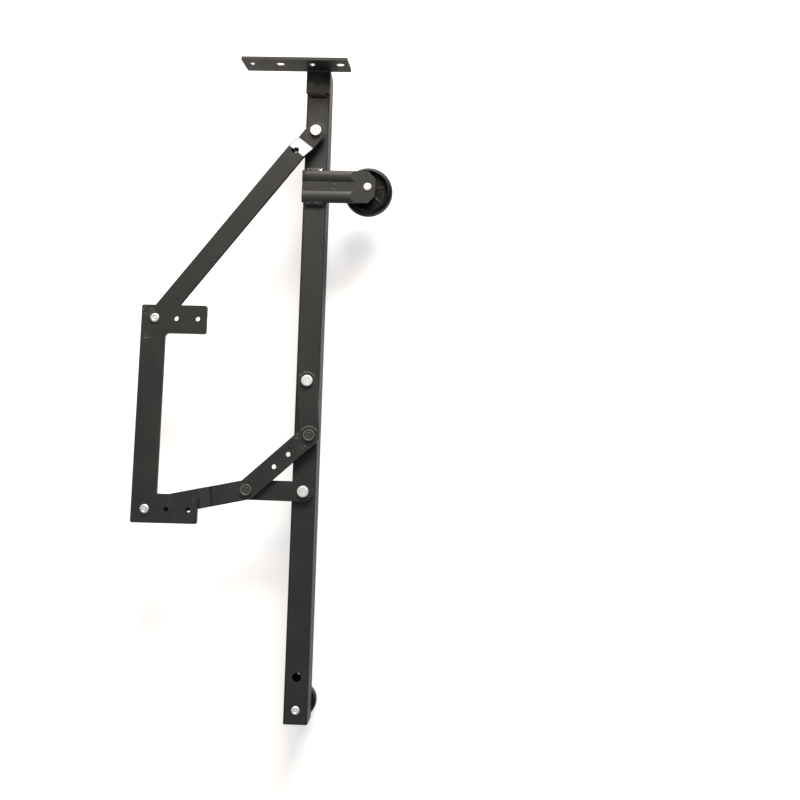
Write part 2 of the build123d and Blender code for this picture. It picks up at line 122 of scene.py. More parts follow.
class NodeSheet:
    """A new material's node tree, with short ways to add the nodes that the finishes share."""

    def __init__(self, name: str) -> None:
        """Start an empty tree.

        Args:
            name: The material's name.
        """
        self.material = bpy.data.materials.new(name)
        self.material.use_nodes = True
        self.tree = self.material.node_tree
        self.tree.nodes.clear()
        self.output = self.tree.nodes.new("ShaderNodeOutputMaterial")
        self.place = self.add("ShaderNodeTexCoord").outputs["Object"]

    def add(self, kind: str, **settings: object) -> bpy.types.Node:
        """Add a node and set its own properties.

        Args:
            kind: The node's type name.
            settings: Properties to set on the node.

        Returns:
            The new node.
        """
        node = self.tree.nodes.new(kind)
        for key, value in settings.items():
            setattr(node, key, value)
        return node

    def feed(self, node: bpy.types.Node, socket: Union[str, int], value: Feed) -> None:
        """Set a socket to a constant, or link another socket to it.

        Args:
            node: The node that owns the socket.
            socket: The input's name or number.
            value: A constant, or an output socket.
        """
        if isinstance(value, bpy.types.NodeSocket):
            self.tree.links.new(value, node.inputs[socket])
        elif isinstance(value, tuple) and node.inputs[socket].type == "RGBA":
            node.inputs[socket].default_value = (*value, 1.0)
        else:
            node.inputs[socket].default_value = value

    def grain(self, size: float, detail: float = 2.0, roughness: float = 0.5) -> bpy.types.NodeSocket:
        """Add three-dimensional noise.

        Args:
            size: The noise's feature size in metres.
            detail: Octaves.
            roughness: How strong the finer octaves are.

        Returns:
            The noise value, about 0 to 1.
        """
        node = self.add("ShaderNodeTexNoise")
        self.feed(node, "Vector", self.place)
        self.feed(node, "Scale", 1.0 / size)
        self.feed(node, "Detail", detail)
        self.feed(node, "Roughness", roughness)
        return node.outputs["Fac"]

    def remap(
        self, value: Feed, low: float, high: float, to_low: float = 0.0, to_high: float = 1.0
    ) -> bpy.types.NodeSocket:
        """Map a range to another, clamped and smooth.

        Args:
            value: The input value.
            low: Input at the start of the range.
            high: Input at the end of the range.
            to_low: Output at the start.
            to_high: Output at the end.

        Returns:
            The mapped value.
        """
        node = self.add("ShaderNodeMapRange", interpolation_type="SMOOTHSTEP")
        ends = {"From Min": low, "From Max": high, "To Min": to_low, "To Max": to_high}
        for name, number in ends.items():
            self.feed(node, name, number)
        self.feed(node, "Value", value)
        return node.outputs["Result"]

    def blend(self, share: Feed, first: Feed, second: Feed, kind: str = "RGBA") -> bpy.types.NodeSocket:
        """Mix two colours or two numbers.

        Args:
            share: 0 gives the first, 1 the second.
            first: A colour or a number.
            second: A colour or a number.
            kind: RGBA for colours, FLOAT for numbers.

        Returns:
            The mixed colour or number.
        """
        node = self.add("ShaderNodeMix", data_type=kind)
        first_socket, second_socket, result = MIX_SOCKETS[kind]
        for socket, value in ((0, share), (first_socket, first), (second_socket, second)):
            self.feed(node, socket, value)
        return node.outputs[result]

    def sum(self, operation: str, first: Feed, second: Feed = 0.0) -> bpy.types.NodeSocket:
        """Do one sum on two numbers.

        Args:
            operation: The Math node's operation.
            first: The first number.
            second: The second number.

        Returns:
            The result.
        """
        node = self.add("ShaderNodeMath", operation=operation)
        self.feed(node, 0, first)
        self.feed(node, 1, second)
        return node.outputs[0]

    def axes(self) -> bpy.types.bpy_prop_collection:
        """Split the place on the surface into its coordinates.

        Returns:
            The sockets X, Y and Z.
        """
        parts = self.add("ShaderNodeSeparateXYZ")
        self.feed(parts, "Vector", self.place)
        return parts.outputs

    def distance(self, centre: Triple) -> bpy.types.NodeSocket:
        """Measure how far a point of the surface is from a centre.

        Args:
            centre: The centre, in millimetres.

        Returns:
            The distance in metres.
        """
        node = self.add("ShaderNodeVectorMath", operation="DISTANCE")
        self.feed(node, 0, self.place)
        self.feed(node, 1, tuple(value * MM for value in centre))
        return node.outputs["Value"]

    def within(self, box: Box) -> bpy.types.NodeSocket:
        """Tell whether a point of the surface lies in a box.

        Args:
            box: Lowest and highest corner, in millimetres.

        Returns:
            1 inside and 0 outside.
        """
        axes = self.axes()
        inside: Feed = 1.0
        for axis, low, high in zip("XYZ", *box):
            above = self.sum("GREATER_THAN", axes[axis], low * MM)
            below = self.sum("LESS_THAN", axes[axis], high * MM)
            inside = self.sum("MULTIPLY", inside, self.sum("MULTIPLY", above, below))
        return inside

    def near(self, centre: Triple, reach: float) -> bpy.types.NodeSocket:
        """Tell how near a point of the surface is to a centre.

        Args:
            centre: The centre, in millimetres.
            reach: Distance in millimetres at which the nearness ends.

        Returns:
            1 at the centre, falling to 0 at the reach.
        """
        return self.remap(self.distance(centre), 0.3 * reach * MM, reach * MM, 1.0, 0.0)

    def ring(self, centre: Triple, radius: float, width: float = 0.7) -> bpy.types.NodeSocket:
        """Draw a faint ring, as a round punch leaves it.

        Args:
            centre: The centre, in millimetres.
            radius: The ring's radius, in millimetres.
            width: How far the ring fades out to each side, in millimetres.

        Returns:
            0 on the ring, rising to 1 beside it.
        """
        away = self.sum("ABSOLUTE", self.sum("SUBTRACT", self.distance(centre), radius * MM))
        return self.remap(away, 0.0, width * MM)

    def band(self, centre: Point, turn: float, half: float, soft: float = 0.3) -> bpy.types.NodeSocket:
        """Draw a straight band across a flat piece.

        Args:
            centre: A point on its middle line, in millimetres.
            turn: The middle line's turn from the Y axis, in degrees.
            half: Half the band's width, in millimetres.
            soft: Half the width of its soft edge, in millimetres.

        Returns:
            1 in the band and 0 beside it.
        """
        across = (math.cos(math.radians(turn)), math.sin(math.radians(turn)), 0.0)
        node = self.add("ShaderNodeVectorMath", operation="DOT_PRODUCT")
        self.feed(node, 0, self.place)
        self.feed(node, 1, across)
        offset = (centre[0] * across[0] + centre[1] * across[1]) * MM
        away = self.sum("ABSOLUTE", self.sum("SUBTRACT", node.outputs["Value"], offset))
        return self.remap(away, (half - soft) * MM, (half + soft) * MM, 1.0, 0.0)

    def relief(self, height: Feed, depth: float, under: Feed | None = None) -> bpy.types.NodeSocket:
        """Turn a height into a bumped normal.

        Args:
            height: The height, 0 to 1.
            depth: What a height of 1 stands for, in metres.
            under: A normal that this bump lies on.

        Returns:
            The normal.
        """
        node = self.add("ShaderNodeBump")
        self.feed(node, "Height", height)
        self.feed(node, "Distance", depth)
        self.feed(node, "Strength", 1.0)
        if under is not None:
            self.feed(node, "Normal", under)
        return node.outputs["Normal"]

    def principled(self, **values: Feed) -> bpy.types.Node:
        """Add the surface shader and send it to the output.

        Args:
            values: Its inputs, with underscores for the spaces in their names.

        Returns:
            The shader node.
        """
        shader = self.add("ShaderNodeBsdfPrincipled")
        for name, value in values.items():
            self.feed(shader, name.replace("_", " "), value)
        self.tree.links.new(shader.outputs["BSDF"], self.output.inputs["Surface"])
        return shader


@dataclass(frozen=True)
class PowderCoat:
    """Semi-gloss black powder coat: a fine orange peel, a film of dust, pale specks and chips.

    A piece can also have scuffs, a bare patch (on the bracket a painted glint in its holes), a rubbed patch, a
    punch's stamp, a crease band of painted shade and a worn end with a painted highlight.
    """

    name: str = "black_powder_coat"
    colour: Colour = (0.0098, 0.0145, 0.0138)
    dusty: Colour = (0.016, 0.019, 0.018)
    dust_size: float = 26 * MM
    keen: float = 0.54
    dull: float = 0.64
    gloss_size: float = 5 * MM
    specular: float = 0.42
    peel: float = 1.3 * MM
    peel_depth: float = 0.014 * MM
    fine_peel: float = 0.35 * MM
    coat: float = 0.25
    coat_roughness: float = 0.28
    coat_ior: float = 1.5
    speck_share: float = 0.06
    speck_size: float = 1.3 * MM
    speck_patch: float = 24 * MM
    speck_colour: Colour = (0.24, 0.245, 0.23)
    scuffs: tuple[tuple[Triple, float], ...] = ()
    chip_share: float = 0.0
    chip_size: float = 1.7 * MM
    chip_patch: float = 22 * MM
    chip_colour: Colour = (0.40, 0.40, 0.37)
    # A bare patch is bare metal; on the bracket it is pale metal on the hole walls, a painted glint of the
    # light seen through the holes
    bare_metal_and_glint_box: Box | None = None
    bare_metal_and_glint_colour: Colour = (0.55, 0.54, 0.52)
    rubbed_box: Box | None = None
    rubbed_roughness: float = 0.3
    stamp: tuple[Triple, float] | None = None
    stamp_depth: float = 0.16 * MM
    # crease: a band along a bend in painted shade, darker in colour, with rougher paint and no lacquer
    crease: tuple[Point, float, float] | None = None
    painted_crease_shade: Colour = (0.004, 0.005, 0.005)
    crease_shade_roughness: float = 0.9
    # Pale dots on the upper half of a round end: worn paint and a painted highlight
    wear_and_highlight_end: tuple[Triple, float] | None = None
    wear_and_highlight_dot_size: float = 0.9 * MM
    wear_and_highlight_colour: Colour = (0.34, 0.36, 0.35)

    def specks(self, sheet: NodeSheet) -> bpy.types.NodeSocket:
        """Scatter small pale scuffs in a few patches.

        Args:
            sheet: The paint's node sheet.

        Returns:
            The share of scuff.
        """
        edge = 0.66 - self.speck_share
        spots = sheet.remap(sheet.grain(self.speck_size, 3.0, 0.6), edge, edge + 0.06)
        patches: Feed = sheet.remap(sheet.grain(self.speck_patch, 1.0), 0.62, 0.7, 0.0, 0.15)
        for centre, reach in self.scuffs:
            patches = sheet.sum("MAXIMUM", patches, sheet.near(centre, reach))
        return sheet.sum("MULTIPLY", spots, patches)

    def wear_and_highlight_arc(self, sheet: NodeSheet, centre: Triple, radius: float) -> bpy.types.NodeSocket:
        """Paint pale dots along the upper half of a bar's round end: worn paint and a painted highlight where
        the rim faces the light.

        Args:
            sheet: The paint's node sheet.
            centre: The round end's centre, in millimetres.
            radius: Radius of the line of wear and painted highlight, in millimetres.

        Returns:
            The share of wear and painted highlight.
        """
        x, y, z = centre
        reach = radius + 1
        cap = sheet.within(((x - reach, y + 0.5 * radius, z - 2), (x + reach, y + reach, z + 2)))
        line = sheet.sum("MULTIPLY", cap, sheet.sum("SUBTRACT", 1.0, sheet.ring(centre, radius)))
        dots = sheet.remap(sheet.grain(self.wear_and_highlight_dot_size), 0.46, 0.58, 0.08, 1.0)
        return sheet.sum("MULTIPLY", line, dots)

    def chips(self, sheet: NodeSheet) -> bpy.types.NodeSocket:
        """Chip the paint in small spots, more of them in some patches.

        Args:
            sheet: The paint's node sheet.

        Returns:
            The share of chips.
        """
        spots = sheet.grain(self.chip_size, 3.0, 0.6)
        patches = sheet.grain(self.chip_patch)
        where = sheet.sum("ADD", spots, sheet.sum("MULTIPLY", patches, 0.5))
        edge = 1.02 - self.chip_share
        return sheet.remap(where, edge, edge + 0.03)

    def normals(self, sheet: NodeSheet) -> tuple[bpy.types.NodeSocket, bpy.types.NodeSocket]:
        """Give the paint its orange peel, and its stamp where it has one.

        Args:
            sheet: The paint's node sheet.

        Returns:
            The normals of the lacquer on top and of the paint, which is finer.
        """
        peel = sheet.relief(sheet.grain(self.peel), self.peel_depth)
        if self.stamp is not None:
            peel = sheet.relief(sheet.ring(*self.stamp), self.stamp_depth, peel)
        return peel, sheet.relief(sheet.grain(self.fine_peel), self.peel_depth * 0.35, peel)

    def material(self) -> bpy.types.Material:
        """Build the paint's material."""
        sheet = NodeSheet(self.name)
        film = sheet.remap(sheet.grain(self.dust_size, 4.0, 0.6), 0.35, 0.7)
        colour = sheet.blend(film, self.colour, self.dusty)
        colour = sheet.blend(self.specks(sheet), colour, self.speck_colour)
        # worn dots and a painted highlight on the upper rim of a round end
        if self.wear_and_highlight_end is not None:
            colour = sheet.blend(self.wear_and_highlight_arc(sheet, *self.wear_and_highlight_end), colour, self.wear_and_highlight_colour)
        rough = sheet.remap(sheet.grain(self.gloss_size, 3.0), 0.3, 0.7, self.keen, self.dull)
        metallic: Feed = 0.0
        if self.chip_share > 0:
            chips = self.chips(sheet)
            colour = sheet.blend(chips, colour, self.chip_colour)
            metallic = sheet.sum("MULTIPLY", chips, 0.6)
        # Bare metal; on the bracket's hole walls this is a painted glint
        if self.bare_metal_and_glint_box is not None:
            bare = sheet.within(self.bare_metal_and_glint_box)
            colour = sheet.blend(bare, colour, self.bare_metal_and_glint_colour)
            metallic = sheet.sum("MAXIMUM", bare, metallic)
            rough = sheet.sum("SUBTRACT", rough, sheet.sum("MULTIPLY", bare, 0.2))
        if self.rubbed_box is not None:
            rough = sheet.blend(sheet.within(self.rubbed_box), rough, self.rubbed_roughness, "FLOAT")
        coat: Feed = self.coat
        # Painted shade: the crease band is coloured darker where the bend lies in shade
        if self.crease is not None:
            painted_crease_shade = sheet.band(*self.crease)
            colour = sheet.blend(painted_crease_shade, colour, self.painted_crease_shade)
            rough = sheet.blend(painted_crease_shade, rough, self.crease_shade_roughness, "FLOAT")
            coat = sheet.blend(painted_crease_shade, coat, 0.0, "FLOAT")
        peel, fine = self.normals(sheet)
        sheet.principled(
            Base_Color=colour,
            Roughness=rough,
            Metallic=metallic,
            Specular_IOR_Level=self.specular,
            Coat_Weight=coat,
            Coat_Roughness=self.coat_roughness,
            Coat_IOR=self.coat_ior,
            Normal=fine,
            Coat_Normal=peel,
        )
        return sheet.material


@dataclass(frozen=True)
class ZincPlate:
    """Dull zinc plating with turning marks round the piece's own axis, and darker stains."""

    name: str = "zinc_plate"
    colour: Colour = (0.86, 0.925, 0.95)
    stain: Colour = (0.62, 0.65, 0.655)
    stain_share: float = 0.25
    roughness: float = 0.5
    metallic: float = 0.7
    turning: float = 0.45 * MM
    turning_depth: float = 0.006 * MM
    wobble: float = 0.25 * MM
    pit_depth: float = 0.03 * MM

    def material(self) -> bpy.types.Material:
        """Build the plating's material."""
        sheet = NodeSheet(self.name)
        axes = sheet.axes()
        across = sheet.sum("MULTIPLY", axes["X"], axes["X"])
        along = sheet.sum("MULTIPLY", axes["Y"], axes["Y"])
        radius = sheet.sum("SQRT", sheet.sum("ADD", across, along))
        wobble = sheet.sum("MULTIPLY", sheet.grain(1.5 * MM), self.wobble)
        phase = sheet.sum("MULTIPLY", sheet.sum("ADD", radius, wobble), 2 * math.pi / self.turning)
        rings = sheet.sum("SINE", phase)
        edge = (1.0 - self.stain_share) * 0.62
        stains = sheet.remap(sheet.grain(2.2 * MM, 4.0, 0.65), edge, edge + 0.3)
        colour = sheet.blend(stains, self.colour, self.stain)
        keen, dull = self.roughness - 0.06, self.roughness + 0.1
        rough = sheet.remap(sheet.grain(1.2 * MM, 3.0), 0.3, 0.7, keen, dull)
        turned = sheet.relief(rings, self.turning_depth)
        pitted = sheet.relief(sheet.grain(0.7 * MM, 3.0), self.pit_depth, turned)
        sheet.principled(Base_Color=colour, Metallic=self.metallic, Roughness=rough, Normal=pitted)
        return sheet.material


@dataclass(frozen=True)
class MouldedNylon:
    """Black moulded nylon: glossy, with flow marks and fine scuffs."""

    name: str = "glossy_black_nylon"
    colour: Colour = (0.007, 0.0075, 0.008)
    scuffed: Colour = (0.013, 0.0135, 0.0135)
    roughness: float = 0.3
    scuffed_roughness: float = 0.42
    specular: float = 0.34
    flow_depth: float = 0.05 * MM
    scratch_depth: float = 0.006 * MM

    def material(self) -> bpy.types.Material:
        """Build the plastic's material."""
        sheet = NodeSheet(self.name)
        scuffs = sheet.remap(sheet.grain(3.5 * MM, 6.0, 0.7), 0.48, 0.72)
        flow = sheet.relief(sheet.grain(9 * MM), self.flow_depth)
        fine = sheet.relief(sheet.grain(0.5 * MM, 3.0), self.scratch_depth, flow)
        sheet.principled(
            Base_Color=sheet.blend(scuffs, self.colour, self.scuffed),
            Roughness=sheet.remap(scuffs, 0.0, 1.0, self.roughness, self.scuffed_roughness),
            Specular_IOR_Level=self.specular,
            Normal=fine,
        )
        return sheet.material


@dataclass(frozen=True)
class WasherNylon:
    """Thin punched nylon washers, matte, with a faint calendered grain."""

    name: str = "washer_nylon"
    colour: Colour = (0.085, 0.085, 0.082)
    worn: Colour = (0.13, 0.13, 0.125)
    roughness: float = 0.42
    worn_roughness: float = 0.6
    grain_depth: float = 0.012 * MM

    def material(self) -> bpy.types.Material:
        """Build the washers' material."""
        sheet = NodeSheet(self.name)
        wear = sheet.remap(sheet.grain(2.5 * MM, 4.0), 0.4, 0.7)
        grain = sheet.relief(sheet.grain(0.4 * MM, 3.0), self.grain_depth)
        sheet.principled(
            Base_Color=sheet.blend(wear, self.colour, self.worn),
            Roughness=sheet.remap(wear, 0.0, 1.0, self.roughness, self.worn_roughness),
            Normal=grain,
        )
        return sheet.material


@dataclass(frozen=True)
class StudioFloor:
    """A plain pale floor. What the lens sees of it is lifted to white, and shadows stay."""

    name: str = "pale_floor"
    colour: Colour = (0.725, 0.742, 0.75)
    mottle: Colour = (0.75, 0.767, 0.775)
    lift: float = 0.56

    def material(self) -> bpy.types.Material:
        """Build the floor's material."""
        sheet = NodeSheet(self.name)
        matte = sheet.add("ShaderNodeBsdfDiffuse")
        sheet.feed(matte, "Color", sheet.blend(sheet.grain(0.25, 3.0), self.colour, self.mottle))
        glow = sheet.add("ShaderNodeEmission")
        seen = sheet.add("ShaderNodeLightPath").outputs["Is Camera Ray"]
        sheet.feed(glow, "Strength", sheet.sum("MULTIPLY", seen, self.lift))
        both = sheet.add("ShaderNodeAddShader")
        sheet.feed(both, 0, matte.outputs[0])
        sheet.feed(both, 1, glow.outputs[0])
        sheet.tree.links.new(both.outputs[0], sheet.output.inputs["Surface"])
        return sheet.material


class Finish(Enum):
    """The finishes of the hinge, one material each."""

    PAINT = PowderCoat()
    PAINT_EDGE = PowderCoat(
        name="black_powder_coat_on_edges", keen=0.44, dull=0.56,
        coat=1.0, coat_roughness=0.3, coat_ior=1.8, chip_share=0.1,
    )
    WORN_EDGE = PowderCoat(
        name="worn_powder_coat_on_edges", keen=0.42, dull=0.54,
        coat=1.0, coat_roughness=0.28, coat_ior=1.9, chip_share=0.34,
    )
    ARM_PAINT = PowderCoat(name="black_powder_coat_on_roller_arm", stamp=((19.9, -126.7, ARM_FACE), 3.1))
    SEAT_PAINT = PowderCoat(
        name="black_powder_coat_on_seat_plate",
        scuffs=(
            ((-160.0, -263.0, SEAT_FACE), 11.0),
            ((-160.0, -292.0, SEAT_FACE), 6.5),
            ((-103.0, -451.0, SEAT_FACE), 5.0),
        ),
    )
    LEVER_PAINT = PowderCoat(
        name="black_powder_coat_on_lever",
        scuffs=(
            ((0.0, -397.0, LEVER_FACE), 8.0),
            ((-8.0, -385.0, LEVER_FACE), 6.0),
            ((6.0, -374.0, LEVER_FACE), 7.0),
        ),
        # a band of painted shade along the lever's step
        crease=((-90.4, -447.6), 9.3, 1.3),
        # worn dots and a painted highlight on the upper rim of the top end
        wear_and_highlight_end=((*LEVER_TOP, LEVER_FACE), 9.1),
    )
    GUIDE_PAINT = PowderCoat(
        name="black_powder_coat_on_guide_link",
        # worn dots and a painted highlight on the upper rim of the top end
        wear_and_highlight_end=((*GUIDE_PIVOT, GUIDE_FACE), 9.0),
    )
    RAIL_PAINT = PowderCoat(
        name="black_powder_coat_on_rail",
        bare_metal_and_glint_box=((-10.45, -668.0, -42.45), (10.45, 1.0, -15.55)),
        bare_metal_and_glint_colour=(0.34, 0.335, 0.32),
    )
    # The hole walls are painted pale metal: a painted glint of the light seen through the holes
    BRACKET_PAINT = PowderCoat(
        name="black_powder_coat_on_bracket",
        bare_metal_and_glint_box=((-73.0, -1.9, -3.2), (31.5, -0.2, 3.2)),
        bare_metal_and_glint_colour=(0.8, 0.8, 0.79),
    )
    # Painted shade for the faces of tool marks: darker than the paint, and matte without lacquer
    SHADED_MARK_PAINT = PowderCoat(
        name="powder_coat_with_painted_shade_in_marks", colour=(0.005, 0.006, 0.006),
        keen=0.85, dull=0.95, coat=0.0, speck_share=0.0,
    )
    LINK_PAINT = PowderCoat(
        name="black_powder_coat_on_upper_link",
        rubbed_box=((-36.0, -115.0, -5.3), (2.0, -76.0, 0.3)),
    )
    WELD_PAINT = PowderCoat(
        name="black_powder_coat_on_weld", keen=0.35, dull=0.55, peel=0.8 * MM, peel_depth=0.04 * MM,
    )
    RIVET_PAINT = PowderCoat(
        name="thin_paint_on_rivets",
        colour=(0.013, 0.018, 0.0165),
        dusty=(0.032, 0.039, 0.036),
        peel=0.9 * MM,
        peel_depth=0.09 * MM,
        speck_share=0.1,
        speck_colour=(0.1, 0.11, 0.105),
        scuffs=(((0.0, 0.0, -3.2), 9.0),),
    )
    RIVET_RIM = PowderCoat(
        name="worn_paint_on_rivet_rims",
        colour=(0.045, 0.054, 0.051),
        dusty=(0.15, 0.16, 0.153),
        peel=0.9 * MM,
        peel_depth=0.04 * MM,
    )
    ZINC = ZincPlate()
    BRIGHT_ZINC = ZincPlate(
        name="bright_zinc_plate", colour=(0.86, 0.86, 0.85), stain=(0.62, 0.61, 0.58), stain_share=0.2,
    )
    STAINED_ZINC = ZincPlate(name="stained_zinc_plate", stain=(0.2, 0.195, 0.18), roughness=0.46)
    BARE_STEEL = ZincPlate(
        name="bare_weld_steel", colour=(0.78, 0.77, 0.74), stain_share=0.1, roughness=0.25,
    )
    PLASTIC = MouldedNylon()
    NYLON = WasherNylon()

    def material(self) -> bpy.types.Material:
        """Return this finish's material, which is made the first time it is asked for."""
        return bpy.data.materials.get(self.value.name) or self.value.material()


def add_object(name: str, data: bpy.types.ID) -> bpy.types.Object:
    """Put a mesh, a lamp or a camera into the scene.

    Args:
        name: The object's name.
        data: Its data.

    Returns:
        The new object.
    """
    made = bpy.data.objects.new(name, data)
    bpy.context.scene.collection.objects.link(made)
    return made


def add_modifier(solid: bpy.types.Object, name: str, kind: str, **settings: object) -> None:
    """Add a modifier and set its own properties.

    Args:
        solid: The solid that takes it.
        name: The modifier's name.
        kind: The modifier's type.
        settings: Properties to set on it, in order.
    """
    modifier = solid.modifiers.new(name, kind)
    for key, value in settings.items():
        setattr(modifier, key, value)


def panel(name: str, corners: Sequence[Triple], material: bpy.types.Material) -> bpy.types.Object:
    """Make a flat panel for the studio.

    Args:
        name: The panel's name.
        corners: Its corners in metres, in order.
        material: Its material.

    Returns:
        The new object.
    """
    mesh = bmesh.new()
    mesh.faces.new([mesh.verts.new(corner) for corner in corners])
    data = bpy.data.meshes.new(name)
    mesh.to_mesh(data)
    mesh.free()
    data.materials.append(material)
    return add_object(name, data)


def piece_from(
    mesh: bmesh.types.BMesh, name: str, finishes: Sequence[Finish], crease: float
) -> bpy.types.Object:
    """Make an object from a bmesh, smooth but for its sharp edges.

    Args:
        mesh: The bmesh, which is freed.
        name: The object's name.
        finishes: The finishes of its material slots.
        crease: Edges that turn by more degrees than this stay sharp.

    Returns:
        The new object, linked to the scene.
    """
    bmesh.ops.recalc_face_normals(mesh, faces=mesh.faces)
    data = bpy.data.meshes.new(name)
    mesh.to_mesh(data)
    mesh.free()
    data.polygons.foreach_set("use_smooth", [True] * len(data.polygons))
    data.set_sharp_from_angle(angle=math.radians(crease))
    for finish in finishes:
        data.materials.append(finish.material())
    return add_object(name, data)


def mount(piece: bpy.types.Object, body: Body, slot: Slot, *nodes: str) -> None:
    """Fix a finished piece to its body, in place of solids.

    Args:
        piece: The piece, already in place.
        body: The body that it moves with.
        slot: The record's material slot. Not used.
        nodes: The solids that it stands for.
    """
    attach(piece, body.value)
    if nodes:
        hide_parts(*nodes)


def lathe(profile: Sequence[Point], sides: int = 72) -> bmesh.types.BMesh:
    """Turn a closed profile round the upright axis.

    Args:
        profile: Points (radius, height) in metres. A radius of 0 is on the axis.
        sides: Steps round the axis.

    Returns:
        The turned shape.
    """
    mesh = bmesh.new()
    on_axis = 1e-9
    rings: list[list[bmesh.types.BMVert]] = []
    for radius, height in profile:
        if radius <= on_axis:
            rings.append([mesh.verts.new((0.0, 0.0, height))])
            continue
        turn = [2 * math.pi * k / sides for k in range(sides)]
        rings.append([mesh.verts.new((radius * math.cos(a), radius * math.sin(a), height)) for a in turn])
    closed = profile[0][0] > on_axis or profile[-1][0] > on_axis
    pairs = list(zip(rings, rings[1:] + (rings[:1] if closed else [])))
    for low, high in pairs[: len(rings) if closed else len(rings) - 1]:
        for k in range(sides):
            after = (k + 1) % sides
            below = [low[k % len(low)], low[after % len(low)]]
            above = [high[after % len(high)], high[k % len(high)]]
            unique = list(dict.fromkeys(below + above))
            if len(unique) > 2:
                mesh.faces.new(unique)
    return mesh


def rounded(profile: Sequence[Triple], steps: int = 4) -> list[Point]:
    """Round the corners of a profile.

    Args:
        profile: Corners (radius, height, corner radius) in millimetres. A corner radius of 0 stays sharp.
        steps: Points along each rounded corner.

    Returns:
        The points in metres.
    """
    made: list[Point] = []
    count = len(profile)
    longest = 0.48
    for k, (x, y, corner) in enumerate(profile):
        here = Vector((x, y))
        if corner <= 0:
            made.append((x * MM, y * MM))
            continue
        before = Vector(profile[k - 1][:2]) - here
        after = Vector(profile[(k + 1) % count][:2]) - here
        reach = min(corner, before.length * longest, after.length * longest)
        start = here + before.normalized() * reach
        end = here + after.normalized() * reach
        for step in range(steps + 1):
            t = step / steps
            spot = start * (1 - t) ** 2 + here * 2 * t * (1 - t) + end * t**2
            made.append((spot.x * MM, spot.y * MM))
    return made


@dataclass
class PressMark:
    """A mark that a tool left in a piece, cut by a lump that rides with the piece."""

    name: str
    body: Body
    centre: Triple
    radii: Triple
    depth: float
    turn: float
    uneven: float

    def lump(self) -> bpy.types.Object:
        """Make the lump that cuts the mark. It isn't shown.

        Returns:
            The lump.
        """
        mesh = bmesh.new()
        bmesh.ops.create_icosphere(mesh, subdivisions=5, radius=1.0)
        for vert in mesh.verts:
            swell = 1 + self.uneven * noise.noise(vert.co * 2.1)
            vert.co = Vector([value * radius * swell * MM for value, radius in zip(vert.co, self.radii)])
        # The faces that the lump cuts into the piece take the painted shade of the marks
        lump = piece_from(mesh, self.name, [Finish.PAINT, Finish.PAINT_EDGE, Finish.SHADED_MARK_PAINT], 180.0)
        for face in lump.data.polygons:
            face.material_index = MARK_SLOT
        x, y, z = self.centre
        lump.location = (x * MM, y * MM, (z + self.radii[2] - self.depth) * MM)
        lump.rotation_euler = (0.0, 0.0, math.radians(self.turn))
        lump.hide_render = True
        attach(lump, self.body.value)
        return lump


@dataclass
class PaintedSolids:
    """Sheet steel pieces whose solids keep their shape: painted, with marks and with eased edges.

    The marks are cut first, while the faces are still small, and then the flat faces are joined again.
    """

    nodes: tuple[str, ...]
    ease: float = 0.8 * MM
    segments: int = 3
    flat: float = 1.2
    corner: float = 38.0
    finish: Finish = Finish.PAINT
    edge: Finish = Finish.PAINT_EDGE
    marks: tuple[PressMark, ...] = ()

    def dress(self) -> None:
        """Paint each solid, cut its marks and ease its edges."""
        for name in self.nodes:
            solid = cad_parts[name]
            solid.data.materials.clear()
            # The third slot holds the painted shade of the marks
            for finish in (self.finish, self.edge, Finish.SHADED_MARK_PAINT):
                solid.data.materials.append(finish.material())
            for mark in self.marks:
                lump = mark.lump()
                add_modifier(
                    solid, mark.name, "BOOLEAN", operation="DIFFERENCE", solver="EXACT", object=lump,
                )
            add_modifier(
                solid, "flat_faces", "DECIMATE", decimate_type="DISSOLVE", delimit={"MATERIAL"},
                angle_limit=math.radians(self.flat),
            )
            add_modifier(
                solid, "eased_edges", "BEVEL", width=self.ease, segments=self.segments,
                limit_method="ANGLE", angle_limit=math.radians(self.corner), use_clamp_overlap=False,
                harden_normals=True, material=EDGE_SLOT,
            )
            log.info("painted %s", name)


@dataclass
class SolidFinish:
    """Solids that keep their shape and only take a finish."""

    nodes: tuple[str, ...]
    finish: Finish
    slot: Slot

    def dress(self) -> None:
        """Give each solid its finish."""
        for name in self.nodes:
            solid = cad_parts[name]
            solid.data.materials.clear()
            solid.data.materials.append(self.finish.material())
            log.info("finished %s", name)


class HeadShape(Enum):
    """How the upper head of a pin or rivet is finished."""

    RINGED = "ringed"
    FLAT = "flat"
    CLOSED = "closed"


